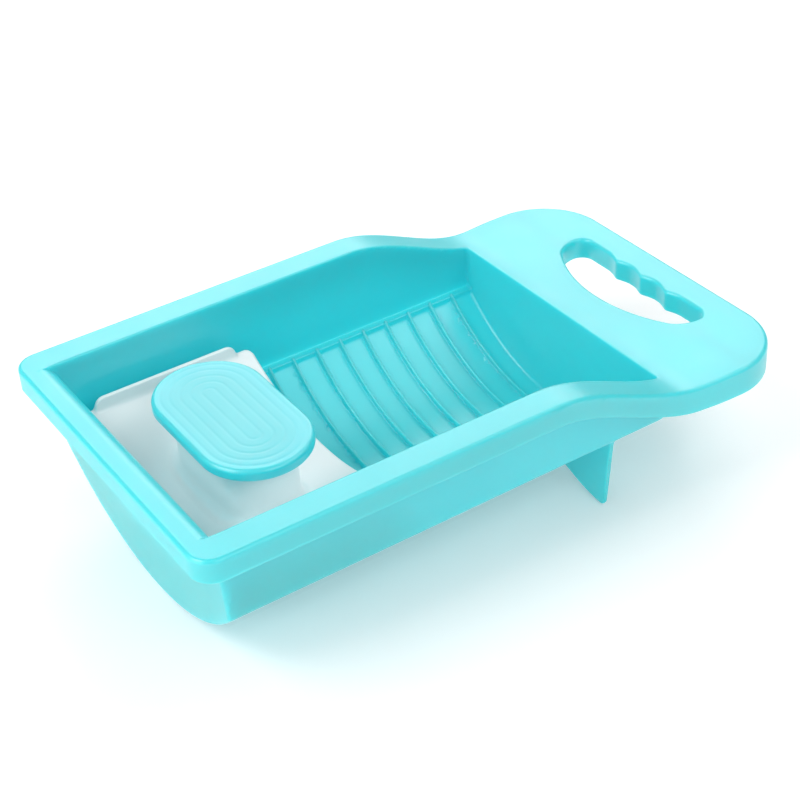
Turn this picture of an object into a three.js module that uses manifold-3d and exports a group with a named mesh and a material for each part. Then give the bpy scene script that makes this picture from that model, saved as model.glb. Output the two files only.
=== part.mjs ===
// Small plastic washboard with a hand brush lying in its trough, in millimetres, +Z up.
//
// Everything is designed in the tray frame: x runs along the board from its closed end to its
// handle, y runs across it, and z is up from the top of the rim. The board stands nose up on the
// lower edge of its closed end and two fins, so the last lines turn that frame by the resting tilt
// and put the origin on the surface that it stands on, under the middle of its box.

import * as THREE from 'three';
import { mergeVertices } from 'three/addons/utils/BufferGeometryUtils.js';
import Module from 'manifold-3d';

const wasm = await Module();
wasm.setup();

// ---------------------------------------------------------------- driving dimensions

// Basin, a trough with straight side walls and a round floor. The wall at its closed end meets
// the rim in a wide round edge.
const BASIN_WIDTH = 150;
const BASIN_LENGTH = 231;
const SIDE_WALL = 3.3;
const CLOSED_END_X = 3.7;
const CLOSED_END_WALL = 2.6;
const CLOSED_END_DRAFT = 2.4;
const CLOSED_EDGE_RADIUS = 8;
const HANDLE_END_WALL = 2.8;
const HANDLE_END_DRAFT = 1.5;
const FLOOR_CENTRE_Z = 30.4;
const FLOOR_RADIUS = 105.6;
const FLOOR_THICKNESS = 2.5;
const LEDGE_Z = -45.2;
const LEDGE_WIDTH = 4.1;
const FLOOR_SEGMENTS = 18;

// Washing ribs across the floor.
const RIB_COUNT = 16;
const RIB_PITCH = 13.63;
const FIRST_RIB_X = 13.6;
const RIB_WIDTH = 1.6;
const RIB_HEIGHT = 2.8;
const RIB_SUNK = 0.6;

// Rim with its turned-down lip, and the handle plate that it runs down to.
const PLATE = 2.6;
const LIP_WALL = 2.4;
const RIM_SIDE = 15.6;
const RIM_END = 11.6;
const RIM_CORNER_RADIUS = 11;
const RIM_LIP = 11.6;
const HANDLE_LIP = 14.6;
const HANDLE_DROP = 24;
const DROP_START_X = 162;
const DROP_END_X = 243;
const DROP_SEGMENTS = 12;
const WAIST_START_X = 150;
const WAIST_X = 215;
const WAIST_HALF_WIDTH = 89.8;
const FLARE_X = 262;
const FLARE_HALF_WIDTH = 92.8;
const SIDE_STEPS = 12;
const HANDLE_END_X = 302;
const HANDLE_CORNER_RADIUS = 35;

// Grip slot with four finger scallops on its far side.
const SLOT_NEAR_X = 255.3;
const SLOT_NEAR_RADIUS = 80;
const SLOT_NEAR_END_Y = 42.5;
const SLOT_END_X = 274;
const SLOT_END_Y = 47.5;
const SLOT_CUSP_X = 283.4;
const SCALLOP_PITCH = 18.9;
const SCALLOP_DEPTH = 2.6;
const SCALLOP_SHOULDER_Y = 23.6;
const SLOT_SKIRT_WALL = 2.2;
const SLOT_SKIRT_DEPTH = 11.8;
const WEB_X = 273;
const WEB_THICKNESS = 1.8;
const WEB_DEPTH = 10;

// Two standing fins under the handle end.
const FIN_TIP_X = 204.6;
const FIN_TIP_Z = -86.6;
const FIN_LEAN = 5.9;
const FIN_ROOT_Z = -40;
const FIN_ROOT_THICKNESS = 2.9;
const FIN_TIP_THICKNESS = 2.2;
const FIN_OUTER_Y = 71.2;
const FIN_FOOT_OUTER_Y = 68.5;
const FIN_FOOT_INNER_Y = 62;
const FIN_FOOT_CORNER = 3;
const FIN_FADE_Y = 26;
const FIN_FADE_SUNK = 1.5;

// Brush, placed by the middle of its plate.
const BRUSH_X = 52.5;
const PLATE_LENGTH = 91.5;
const PLATE_WIDTH = 135;
const PLATE_CORNER_RADIUS = 4;
const PLATE_ARC_CENTRE_Z = 74.5;
const PLATE_TOP_RADIUS = 120;
const PLATE_THICKNESS = 7;
const PLATE_ARC_REACH = 78;
const PLATE_SEGMENTS = 20;
const GUARD_HALF_LENGTH = 37;
const GUARD_THICKNESS = 2;
const GUARD_CORNER_RADIUS = 5;
const GUARD_TOP_Z = -19.9;

const CAP_TOP_Z = -5.9;
const CAP_THICKNESS = 6.2;
const CAP_STRAIGHT = 20;
const CAP_RADIUS = 26.1;
const CAP_EDGE_RADIUS = 2;
const CAP_GROOVES = [3.2, 8.4, 13.2, 18, 22];
const CAP_GROOVE_DEPTH = 0.3;
const CAP_GROOVE_WIDTH = 1.2;
const CAP_PLUG_DEPTH = 3;
const CAP_PLUG_CLEARANCE = 0.4;
const CAP_BORE_END_Z = -23;

const NECK_RADIUS = 17.6;
const NECK_STRAIGHT_Z = -26;
const NECK_FLARE = [[34, -60], [29, -49], [23, -43.5], [19.4, -36]];
const NECK_WALL = 2.6;
const NECK_FLOOR = 3.5;
const OVAL_SEGMENTS = 24;

const SCREW_Y = 22;
const SCREW_HEAD_RADIUS = 3.5;
const SCREW_HEAD_THICKNESS = 2.4;
const SCREW_HEAD_CHAMFER = 1;
const SCREW_SHANK_RADIUS = 1.75;
const SCREW_LENGTH = 20;
const SCREW_POINT_LENGTH = 3;
const SCREW_SEAT_Z = -45;
const POST_RADIUS = 5.4;
const POST_FOOT_Z = -49;
const POST_TOP_Z = -38;
const BOSS_RADIUS = 4.4;
const BORE_SEGMENTS = 14;

const TUFT_ROOT_RADIUS = 2.4;
const TUFT_TIP_RADIUS = 3.9;
const TUFT_COLUMNS = 6;
const TUFT_ROWS = 9;
const TUFT_COLUMN_PITCH = 14;
const TUFT_ROW_ANGLE = 6;
const TUFT_SIDES = 8;

// Gap kept between pieces that touch on the real object.
const GAP = 0.3;

// Cutting solids and blanks reach this far beyond what they cut, and joined solids into each other.
const BEYOND_X = 40;
const BEYOND_Y = 120;
const ABOVE_Z = 20;
const BELOW_Z = -100;
const OVERLAP = 1;

// Fineness of outlines, corners too close to keep apart, and the longest mitre of an offset.
const OUTLINE_DIVISIONS = 5;
const SMALL_CURVE_DIVISIONS = 3;
const WELD = 1e-4;
const MITRE_LIMIT = 2;

// ---------------------------------------------------------------- materials

const aquaPlastic = new THREE.MeshStandardMaterial({ color: 0x84dfe4, roughness: 0.36, metalness: 0 });
const whitePlastic = new THREE.MeshStandardMaterial({ color: 0xe4eff0, roughness: 0.4, metalness: 0 });
const bristleNylon = new THREE.MeshStandardMaterial({ color: 0xf1f4f2, roughness: 0.5, metalness: 0 });
const screwSteel = new THREE.MeshStandardMaterial({ color: 0xa9adb0, roughness: 0.35, metalness: 1 });

// ---------------------------------------------------------------- derived sizes

const halfWidth = BASIN_WIDTH / 2;
const outerHalfWidth = halfWidth + SIDE_WALL;
const outerFloorRadius = FLOOR_RADIUS + FLOOR_THICKNESS;
const rimHalfWidth = halfWidth + RIM_SIDE;
const ledgeInnerY = halfWidth - LEDGE_WIDTH;
const bellyZ = FLOOR_CENTRE_Z - outerFloorRadius;
const crestRadius = FLOOR_RADIUS - RIB_HEIGHT;
const plateBottomRadius = PLATE_TOP_RADIUS + PLATE_THICKNESS;
const capBottomZ = CAP_TOP_Z - CAP_THICKNESS;
const closedEndBottomX = closedEndX(bellyZ) - CLOSED_END_WALL;
const restingTilt = Math.atan2(bellyZ - FIN_TIP_Z, FIN_TIP_X - closedEndBottomX);

function radians(degrees) {
  return degrees * Math.PI / 180;
}

function slope(degrees) {
  return Math.tan(radians(degrees));
}

function smoothstep(t) {
  const s = Math.min(Math.max(t, 0), 1);
  return s * s * (3 - 2 * s);
}

// Inner faces of the trough's end walls, at a height.
function closedEndX(z) {
  return CLOSED_END_X - slope(CLOSED_END_DRAFT) * z;
}

function handleEndX(z) {
  return BASIN_LENGTH + slope(HANDLE_END_DRAFT) * (z + HANDLE_DROP);
}

// Share of the way down from the rim to the handle plate.
function dropShare(x) {
  return smoothstep((x - DROP_START_X) / (DROP_END_X - DROP_START_X));
}

// Height of an arc about (0, centreZ), below its centre, at a distance y across the board.
function arcZ(centreZ, radius, y) {
  return centreZ - Math.sqrt(radius * radius - y * y);
}

// ---------------------------------------------------------------- solids

// Geometry to a solid: only positions, shared corners merged, faces without area left out.
function solid(geometry) {
  const bare = geometry.clone();
  bare.deleteAttribute('normal');
  bare.deleteAttribute('uv');
  const merged = mergeVertices(bare, WELD);
  const index = merged.index.array;
  const kept = [];
  for (let i = 0; i < index.length; i += 3) {
    const [a, b, c] = [index[i], index[i + 1], index[i + 2]];
    if (a !== b && b !== c && c !== a) {
      kept.push(a, b, c);
    }
  }
  const vertProperties = new Float32Array(merged.attributes.position.array);
  return new wasm.Manifold(new wasm.Mesh({ numProp: 3, vertProperties, triVerts: new Uint32Array(kept) }));
}

function meshOf(name, shape, material) {
  const result = shape.getMesh();
  const geometry = new THREE.BufferGeometry();
  geometry.setAttribute('position', new THREE.BufferAttribute(new Float32Array(result.vertProperties), 3));
  geometry.setIndex(new THREE.BufferAttribute(new Uint32Array(result.triVerts), 1));
  geometry.computeVertexNormals();
  const mesh = new THREE.Mesh(geometry, material);
  mesh.name = name;
  return mesh;
}

function extrusion(outline, depth) {
  const options = { depth, bevelEnabled: false, steps: 1 };
  return new THREE.ExtrudeGeometry(new THREE.Shape(outline), options);
}

// Prism of an x-y outline, between two heights.
function planPrism(outline, lowZ, highZ) {
  return solid(extrusion(outline, highZ - lowZ).translate(0, 0, lowZ));
}

// Prism of a y-z outline, along x.
function crossPrism(outline, lowX, highX) {
  const toX = new THREE.Matrix4().makeBasis(
    new THREE.Vector3(0, 1, 0),
    new THREE.Vector3(0, 0, 1),
    new THREE.Vector3(1, 0, 0),
  );
  return solid(extrusion(outline, highX - lowX).applyMatrix4(toX).translate(lowX, 0, 0));
}

// Prism of an x-z outline, across the board.
function sidePrism(outline, lowY, highY) {
  return solid(extrusion(outline, highY - lowY).rotateX(Math.PI / 2).translate(0, highY, 0));
}

function point(a, b) {
  return new THREE.Vector2(a, b);
}

// Points of a path that starts and ends on the middle line, closed by its mirror image.
function mirrored(path, divisions, flip = (p) => point(p.x, -p.y)) {
  const half = path.getPoints(divisions);
  const other = half.slice(1, -1).reverse().map(flip);
  return half.concat(other);
}

// Closed outline moved outwards by a distance, corner by corner.
function offsetOutline(outline, distance) {
  const count = outline.length;
  return outline.map((p, i) => {
    const before = p.clone().sub(outline[(i + count - 1) % count]).normalize();
    const after = outline[(i + 1) % count].clone().sub(p).normalize();
    const normal = point(before.y + after.y, -before.x - after.x).normalize();
    const stretch = 1 / normal.dot(point(before.y, -before.x));
    return p.clone().addScaledVector(normal, distance * Math.min(stretch, MITRE_LIMIT));
  });
}

// Arc in the y-z plane about (0, centreZ), from one y to another, under its centre.
function lowArc(centreZ, radius, fromY, toY, segments) {
  const from = Math.asin(fromY / radius);
  const to = Math.asin(toY / radius);
  const points = [];
  for (let i = 0; i <= segments; i += 1) {
    const angle = from + (to - from) * i / segments;
    points.push(point(radius * Math.sin(angle), centreZ - radius * Math.cos(angle)));
  }
  return points;
}

// Lathe about z whose two halves are pulled apart along y, so that every ring is a stadium.
function stretchedLathe(profile, straight, segments) {
  const lathe = new THREE.LatheGeometry(profile, segments, Math.PI / 2 + Math.PI / segments);
  const position = lathe.attributes.position;
  const perSide = profile.length;
  for (let i = 0; i < position.count; i += 1) {
    const step = Math.floor(i / perSide) % segments;
    const shift = step < segments / 2 ? -straight : straight;
    position.setZ(i, position.getZ(i) + shift);
  }
  return solid(lathe.rotateX(Math.PI / 2));
}

function roundPin(radius, lowZ, highZ, x, y) {
  const cylinder = new THREE.CylinderGeometry(radius, radius, highZ - lowZ, BORE_SEGMENTS);
  return solid(cylinder.rotateX(Math.PI / 2).translate(x, y, (lowZ + highZ) / 2));
}

// ---------------------------------------------------------------- rim and handle outlines

function rimTopZ(x) {
  return -HANDLE_DROP * dropShare(x);
}

// The lip grows deeper from the start of the drop to the handle's end.
function lipDepth(x) {
  return RIM_LIP + (HANDLE_LIP - RIM_LIP) * smoothstep((x - DROP_START_X) / (HANDLE_END_X - DROP_START_X));
}

// Places along x where the rim's height or lip changes, and one past each end.
function rimStations(lowX, highX) {
  const stations = [lowX];
  const step = (DROP_END_X - DROP_START_X) / DROP_SEGMENTS;
  for (let x = DROP_START_X; x < highX; x += step) {
    if (x > lowX) {
      stations.push(x);
    }
  }
  stations.push(highX);
  return stations;
}

// Side view of a layer under the rim's top surface, between two depths below it.
function rimLayer(shallow, deep) {
  const stations = rimStations(-BEYOND_X, HANDLE_END_X + BEYOND_X);
  const top = stations.map((x) => point(x, rimTopZ(x) - shallow(x)));
  const bottom = stations.map((x) => point(x, rimTopZ(x) - deep(x)));
  return sidePrism(bottom.concat(top.reverse()), -BEYOND_Y, BEYOND_Y);
}

// Half the width over the lips: straight, then a slight waist, then the flare of the handle.
function rimHalfWidthAt(x) {
  const waist = smoothstep((x - WAIST_START_X) / (WAIST_X - WAIST_START_X));
  const flare = smoothstep((x - WAIST_X) / (FLARE_X - WAIST_X));
  const narrowing = (rimHalfWidth - WAIST_HALF_WIDTH) * waist;
  return rimHalfWidth - narrowing + (FLARE_HALF_WIDTH - WAIST_HALF_WIDTH) * flare;
}

function rimOutline() {
  const path = new THREE.Path();
  const startY = -(rimHalfWidth - RIM_CORNER_RADIUS);
  const endY = -(FLARE_HALF_WIDTH - HANDLE_CORNER_RADIUS);
  const endX = HANDLE_END_X - HANDLE_CORNER_RADIUS;
  path.moveTo(-RIM_END, 0);
  path.lineTo(-RIM_END, startY);
  path.absarc(-RIM_END + RIM_CORNER_RADIUS, startY, RIM_CORNER_RADIUS, Math.PI, 1.5 * Math.PI, false);
  for (let i = 0; i <= SIDE_STEPS; i += 1) {
    const x = WAIST_START_X + (FLARE_X - WAIST_START_X) * i / SIDE_STEPS;
    path.lineTo(x, -rimHalfWidthAt(x));
  }
  path.absarc(endX, endY, HANDLE_CORNER_RADIUS, 1.5 * Math.PI, 2 * Math.PI, false);
  path.lineTo(HANDLE_END_X, 0);
  return mirrored(path, OUTLINE_DIVISIONS);
}

// From the middle of the near side, round one end, to the cusp between the two middle scallops.
function slotOutline() {
  const centreX = SLOT_NEAR_X + SLOT_NEAR_RADIUS;
  const sweep = Math.asin(SLOT_NEAR_END_Y / SLOT_NEAR_RADIUS);
  const nearEndX = centreX - SLOT_NEAR_RADIUS * Math.cos(sweep);
  const crestX = SLOT_CUSP_X + SCALLOP_DEPTH;
  const pullX = SLOT_CUSP_X + 2 * SCALLOP_DEPTH;
  const path = new THREE.Path();
  path.moveTo(SLOT_NEAR_X, 0);
  path.absarc(centreX, 0, SLOT_NEAR_RADIUS, Math.PI, Math.PI + sweep, false);
  path.quadraticCurveTo((nearEndX + SLOT_END_X) / 2, -SLOT_END_Y, SLOT_END_X, -SLOT_END_Y);
  path.quadraticCurveTo(crestX, -SLOT_END_Y, crestX, -2 * SCALLOP_PITCH);
  path.quadraticCurveTo(crestX, -SCALLOP_SHOULDER_Y, SLOT_CUSP_X, -SCALLOP_PITCH);
  path.quadraticCurveTo(pullX, -SCALLOP_PITCH / 2, SLOT_CUSP_X, 0);
  return mirrored(path, OUTLINE_DIVISIONS);
}

// ---------------------------------------------------------------- washboard

function rimAndHandle() {
  const outline = rimOutline();
  const inset = offsetOutline(outline, -LIP_WALL);
  const full = planPrism(outline, BELOW_Z, ABOVE_Z).intersect(rimLayer(() => 0, lipDepth));
  const under = planPrism(inset, BELOW_Z, ABOVE_Z).intersect(rimLayer(() => PLATE, (x) => 2 * lipDepth(x)));
  return full.subtract(under);
}

// Wall round the slot, and a stiffening web from each of its ends to the lip.
function handleUnderside() {
  const inPlate = () => PLATE / 2;
  const skirt = planPrism(offsetOutline(slotOutline(), SLOT_SKIRT_WALL), BELOW_Z, ABOVE_Z);
  const webs = new THREE.BoxGeometry(WEB_THICKNESS, 2 * FLARE_HALF_WIDTH - LIP_WALL, ABOVE_Z - BELOW_Z);
  const web = solid(webs.translate(WEB_X, 0, (ABOVE_Z + BELOW_Z) / 2));
  const webLayer = web.intersect(rimLayer(inPlate, () => WEB_DEPTH));
  return skirt.intersect(rimLayer(inPlate, () => SLOT_SKIRT_DEPTH)).add(webLayer);
}

// Cross-section of the trough's outside.
function troughOutside() {
  const section = lowArc(FLOOR_CENTRE_Z, outerFloorRadius, -outerHalfWidth, outerHalfWidth, FLOOR_SEGMENTS);
  section.push(point(outerHalfWidth, ABOVE_Z), point(-outerHalfWidth, ABOVE_Z));
  const startX = closedEndX(-PLATE / 2) - CLOSED_END_WALL;
  const endX = handleEndX(-HANDLE_DROP - PLATE / 2) + HANDLE_END_WALL;
  const top = rimStations(startX, endX).map((x) => point(x, rimTopZ(x) - PLATE / 2)).reverse();
  const bottom = [
    point(closedEndX(BELOW_Z) - CLOSED_END_WALL, BELOW_Z),
    point(handleEndX(BELOW_Z) + HANDLE_END_WALL, BELOW_Z),
  ];
  const side = sidePrism(bottom.concat(top), -BEYOND_Y, BEYOND_Y);
  return crossPrism(section, -BEYOND_X, HANDLE_END_X).intersect(side);
}

// Material under the round edge, between the rim's plate and the closed end's wall.
function closedEndCorner() {
  const wallX = CLOSED_END_X - CLOSED_END_WALL / 2;
  const reach = CLOSED_EDGE_RADIUS + OVERLAP;
  const side = [
    point(wallX - reach + PLATE / 2, -PLATE / 2),
    point(wallX, -reach),
    point(wallX, -PLATE / 2),
  ];
  return sidePrism(side, -outerHalfWidth, outerHalfWidth);
}

// The space inside the trough, above the ledges and the floor.
function troughInside() {
  const stepZ = arcZ(FLOOR_CENTRE_Z, FLOOR_RADIUS, ledgeInnerY);
  const section = [point(halfWidth, ABOVE_Z), point(-halfWidth, ABOVE_Z), point(-halfWidth, LEDGE_Z)];
  section.push(point(-ledgeInnerY, LEDGE_Z), point(-ledgeInnerY, stepZ));
  const floor = lowArc(FLOOR_CENTRE_Z, FLOOR_RADIUS, -ledgeInnerY, ledgeInnerY, FLOOR_SEGMENTS);
  section.push(...floor.slice(1, -1), point(ledgeInnerY, stepZ), point(ledgeInnerY, LEDGE_Z));
  section.push(point(halfWidth, LEDGE_Z));
  const r = CLOSED_EDGE_RADIUS;
  const edgeX = closedEndX(-r) - r;
  const side = new THREE.Path();
  side.moveTo(edgeX, ABOVE_Z);
  side.absarc(edgeX, -r, r, Math.PI / 2, 0, true);
  side.lineTo(closedEndX(BELOW_Z), BELOW_Z);
  side.lineTo(handleEndX(BELOW_Z), BELOW_Z);
  side.lineTo(handleEndX(ABOVE_Z), ABOVE_Z);
  const between = sidePrism(side.getPoints(SMALL_CURVE_DIVISIONS), -BEYOND_Y, BEYOND_Y);
  return crossPrism(section, -BEYOND_X, HANDLE_END_X).intersect(between);
}

// One rib: a band of the floor's arc, a little sunk into the floor and into both ledge steps.
function washingRib(x) {
  const reach = ledgeInnerY + RIB_SUNK;
  const crest = lowArc(FLOOR_CENTRE_Z, crestRadius, -reach, reach, FLOOR_SEGMENTS);
  const root = lowArc(FLOOR_CENTRE_Z, FLOOR_RADIUS + RIB_SUNK, -reach, reach, FLOOR_SEGMENTS);
  return crossPrism(root.concat(crest.reverse()), x - RIB_WIDTH / 2, x + RIB_WIDTH / 2);
}

// Both fins in one cut: a thin leaning plate whose lower edge is arched between two feet.
function standingFins() {
  const rootX = FIN_TIP_X + slope(FIN_LEAN) * (FIN_ROOT_Z - FIN_TIP_Z);
  const foot = Math.tan(restingTilt) * FIN_TIP_THICKNESS / 2;
  const side = [
    point(FIN_TIP_X - FIN_TIP_THICKNESS / 2, FIN_TIP_Z + foot),
    point(FIN_TIP_X + FIN_TIP_THICKNESS / 2, FIN_TIP_Z - foot),
    point(rootX + FIN_ROOT_THICKNESS / 2, FIN_ROOT_Z),
    point(rootX - FIN_ROOT_THICKNESS / 2, FIN_ROOT_Z),
  ];
  const lowZ = FIN_TIP_Z - 2 * foot;
  const path = new THREE.Path();
  path.moveTo(0, bellyZ + 2 * FIN_FADE_SUNK);
  path.lineTo(-FIN_FADE_Y, bellyZ + FIN_FADE_SUNK);
  path.lineTo(-FIN_FOOT_INNER_Y, lowZ);
  path.lineTo(-FIN_FOOT_OUTER_Y, lowZ);
  path.quadraticCurveTo(-FIN_OUTER_Y, lowZ, -FIN_OUTER_Y, lowZ + FIN_FOOT_CORNER);
  path.lineTo(-FIN_OUTER_Y, FIN_ROOT_Z);
  path.lineTo(0, FIN_ROOT_Z);
  const outline = mirrored(path, OUTLINE_DIVISIONS, (p) => point(-p.x, p.y));
  return crossPrism(outline, 0, HANDLE_END_X).intersect(sidePrism(side, -BEYOND_Y, BEYOND_Y));
}

function washboardTray() {
  const slotHole = planPrism(slotOutline(), BELOW_Z, ABOVE_Z);
  let tray = rimAndHandle();
  tray = tray.add(handleUnderside());
  tray = tray.add(troughOutside()).add(closedEndCorner());
  tray = tray.add(standingFins());
  tray = tray.subtract(slotHole).subtract(troughInside());
  for (let i = 0; i < RIB_COUNT; i += 1) {
    tray = tray.add(washingRib(FIRST_RIB_X + i * RIB_PITCH));
  }
  return meshOf('washboard_tray', tray, aquaPlastic);
}

// ---------------------------------------------------------------- brush, about its own middle

// Everything above an arc across the brush, at any height up to the cap.
function aboveArc(radius) {
  const section = lowArc(PLATE_ARC_CENTRE_Z, radius, -PLATE_ARC_REACH, PLATE_ARC_REACH, PLATE_SEGMENTS);
  section.push(point(PLATE_ARC_REACH, ABOVE_Z), point(-PLATE_ARC_REACH, ABOVE_Z));
  return crossPrism(section, -PLATE_LENGTH, PLATE_LENGTH);
}

function brushPlate() {
  const half = PLATE_WIDTH / 2;
  const path = new THREE.Path();
  const endX = PLATE_LENGTH / 2;
  const r = PLATE_CORNER_RADIUS;
  path.moveTo(-endX, 0);
  path.lineTo(-endX, -half + r);
  path.absarc(-endX + r, -half + r, r, Math.PI, 1.5 * Math.PI, false);
  path.lineTo(endX - r, -half);
  path.absarc(endX - r, -half + r, r, 1.5 * Math.PI, 2 * Math.PI, false);
  path.lineTo(endX, 0);
  const band = aboveArc(plateBottomRadius).subtract(aboveArc(PLATE_TOP_RADIUS));
  return band.intersect(planPrism(mirrored(path, SMALL_CURVE_DIVISIONS), BELOW_Z, 0));
}

// Low guard along one edge of the plate, with rounded upper corners.
function brushGuard(side) {
  const r = GUARD_CORNER_RADIUS;
  const lowZ = arcZ(PLATE_ARC_CENTRE_Z, plateBottomRadius - OVERLAP, PLATE_WIDTH / 2 - GUARD_THICKNESS);
  const shape = new THREE.Path();
  shape.moveTo(-GUARD_HALF_LENGTH, lowZ);
  shape.lineTo(GUARD_HALF_LENGTH, lowZ);
  shape.lineTo(GUARD_HALF_LENGTH, GUARD_TOP_Z - r);
  shape.absarc(GUARD_HALF_LENGTH - r, GUARD_TOP_Z - r, r, 0, Math.PI / 2, false);
  shape.lineTo(-GUARD_HALF_LENGTH + r, GUARD_TOP_Z);
  shape.absarc(-GUARD_HALF_LENGTH + r, GUARD_TOP_Z - r, r, Math.PI / 2, Math.PI, false);
  const lowY = side * (PLATE_WIDTH - GUARD_THICKNESS) / 2 - GUARD_THICKNESS / 2;
  return sidePrism(shape.getPoints(SMALL_CURVE_DIVISIONS), lowY, lowY + GUARD_THICKNESS);
}

function brushBase() {
  const topZ = capBottomZ - GAP;
  const flare = NECK_FLARE.map(([radius, z]) => point(radius, z));
  const footZ = flare[0].y;
  const neck = stretchedLathe([
    point(0, footZ),
    ...flare,
    point(NECK_RADIUS, NECK_STRAIGHT_Z),
    point(NECK_RADIUS, topZ),
    point(0, topZ),
  ], CAP_STRAIGHT, OVAL_SEGMENTS);
  const room = stretchedLathe([
    point(0, footZ),
    point(NECK_RADIUS - NECK_WALL, footZ),
    point(NECK_RADIUS - NECK_WALL, topZ + OVERLAP),
    point(0, topZ + OVERLAP),
  ], CAP_STRAIGHT, OVAL_SEGMENTS);
  let base = brushPlate().add(neck.intersect(aboveArc(plateBottomRadius)));
  base = base.add(brushGuard(-1)).add(brushGuard(1));
  base = base.subtract(room.intersect(aboveArc(plateBottomRadius - NECK_FLOOR)));
  for (const y of [-SCREW_Y, SCREW_Y]) {
    base = base.add(roundPin(POST_RADIUS, POST_FOOT_Z, POST_TOP_Z, 0, y));
    base = base.subtract(roundPin(SCREW_SHANK_RADIUS + GAP, BELOW_Z, POST_TOP_Z + OVERLAP, 0, y));
    base = base.subtract(roundPin(SCREW_HEAD_RADIUS + GAP, BELOW_Z, SCREW_SEAT_Z, 0, y));
  }
  return meshOf('brush_base', base, whitePlastic);
}

// Finger plate with shallow grooves on top, a plug under it and two screw bosses.
function gripCap() {
  const r = CAP_EDGE_RADIUS;
  const plugRadius = NECK_RADIUS - NECK_WALL - CAP_PLUG_CLEARANCE;
  const edge = new THREE.Path();
  edge.moveTo(0, capBottomZ - CAP_PLUG_DEPTH);
  edge.lineTo(plugRadius, capBottomZ - CAP_PLUG_DEPTH);
  edge.lineTo(plugRadius, capBottomZ);
  edge.absarc(CAP_RADIUS - r, capBottomZ + r, r, -Math.PI / 2, 0, false);
  edge.absarc(CAP_RADIUS - r, CAP_TOP_Z - r, r, 0, Math.PI / 2, false);
  const profile = edge.getPoints(2);
  for (const radius of [...CAP_GROOVES].reverse()) {
    profile.push(point(radius + CAP_GROOVE_WIDTH / 2, CAP_TOP_Z));
    profile.push(point(radius, CAP_TOP_Z - CAP_GROOVE_DEPTH));
    profile.push(point(radius - CAP_GROOVE_WIDTH / 2, CAP_TOP_Z));
  }
  profile.push(point(0, CAP_TOP_Z));
  let cap = stretchedLathe(profile, CAP_STRAIGHT, OVAL_SEGMENTS);
  for (const y of [-SCREW_Y, SCREW_Y]) {
    cap = cap.add(roundPin(BOSS_RADIUS, POST_TOP_Z + GAP, capBottomZ - OVERLAP, 0, y));
    cap = cap.subtract(roundPin(SCREW_SHANK_RADIUS + GAP, POST_TOP_Z - OVERLAP, CAP_BORE_END_Z, 0, y));
  }
  return meshOf('grip_cap', cap, aquaPlastic);
}

// Pan-head screw driven up from below.
function fixingScrew(name, y) {
  const headTop = SCREW_SEAT_Z - GAP;
  const tipZ = headTop + SCREW_LENGTH;
  const headZ = headTop - SCREW_HEAD_THICKNESS;
  const lathe = new THREE.LatheGeometry([
    point(0, headZ),
    point(SCREW_HEAD_RADIUS - SCREW_HEAD_CHAMFER, headZ),
    point(SCREW_HEAD_RADIUS, headZ + SCREW_HEAD_CHAMFER),
    point(SCREW_HEAD_RADIUS, headTop),
    point(SCREW_SHANK_RADIUS, headTop),
    point(SCREW_SHANK_RADIUS, tipZ - SCREW_POINT_LENGTH),
    point(0, tipZ),
  ], BORE_SEGMENTS);
  return meshOf(name, solid(lathe.rotateX(Math.PI / 2).translate(0, y, 0)), screwSteel);
}

// One tuft, square to the curved underside of the plate and trimmed to the rib crests. The crests
// curve about a lower centre than the plate, so they cross the tuft's end at a slant.
function bristleTuft(column, row) {
  const angle = radians((row - (TUFT_ROWS - 1) / 2) * TUFT_ROW_ANGLE);
  const x = (column - (TUFT_COLUMNS - 1) / 2) * TUFT_COLUMN_PITCH;
  const rise = PLATE_ARC_CENTRE_Z - FLOOR_CENTRE_Z;
  const sideways = rise * Math.sin(angle);
  const toCrests = Math.sqrt(crestRadius ** 2 - sideways ** 2);
  const slant = TUFT_TIP_RADIUS * Math.abs(sideways) / toCrests;
  const start = plateBottomRadius + GAP;
  const length = rise * Math.cos(angle) + toCrests - GAP - slant - start;
  const cone = new THREE.CylinderGeometry(TUFT_ROOT_RADIUS, TUFT_TIP_RADIUS, length, TUFT_SIDES);
  cone.rotateX(Math.PI / 2).translate(0, 0, -start - length / 2).rotateX(angle);
  cone.translate(x, 0, PLATE_ARC_CENTRE_Z);
  return meshOf(`bristle_tuft_${row + 1}_${column + 1}`, solid(cone), bristleNylon);
}

function brush() {
  const group = new THREE.Group();
  group.add(brushBase(), gripCap());
  group.add(fixingScrew('fixing_screw_near', -SCREW_Y), fixingScrew('fixing_screw_far', SCREW_Y));
  for (let row = 0; row < TUFT_ROWS; row += 1) {
    for (let column = 0; column < TUFT_COLUMNS; column += 1) {
      group.add(bristleTuft(column, row));
    }
  }
  group.position.x = BRUSH_X;
  return group;
}

// ---------------------------------------------------------------- assembly

const trayFrame = new THREE.Group();
trayFrame.add(washboardTray(), brush());
trayFrame.rotation.y = -restingTilt;

const washboard = new THREE.Group();
washboard.add(trayFrame);
washboard.updateMatrixWorld(true);
const box = new THREE.Box3().setFromObject(washboard, true);
trayFrame.position.set(-(box.min.x + box.max.x) / 2, 0, -box.min.z);

export default washboard;
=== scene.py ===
"""Looks of a small plastic washboard with a hand brush lying in its trough.

The moulded pieces are worked out as distance fields in millimetres, in the tray frame of the CAD
part: x from the closed end of the basin to the handle, y across, z up from the rim. A field is
sampled on a grid, meshed, and its points are pulled onto the exact surface, so every edge has the
round of a real moulding. The meshes are then turned into the row frame, in metres.
"""

import math

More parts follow.
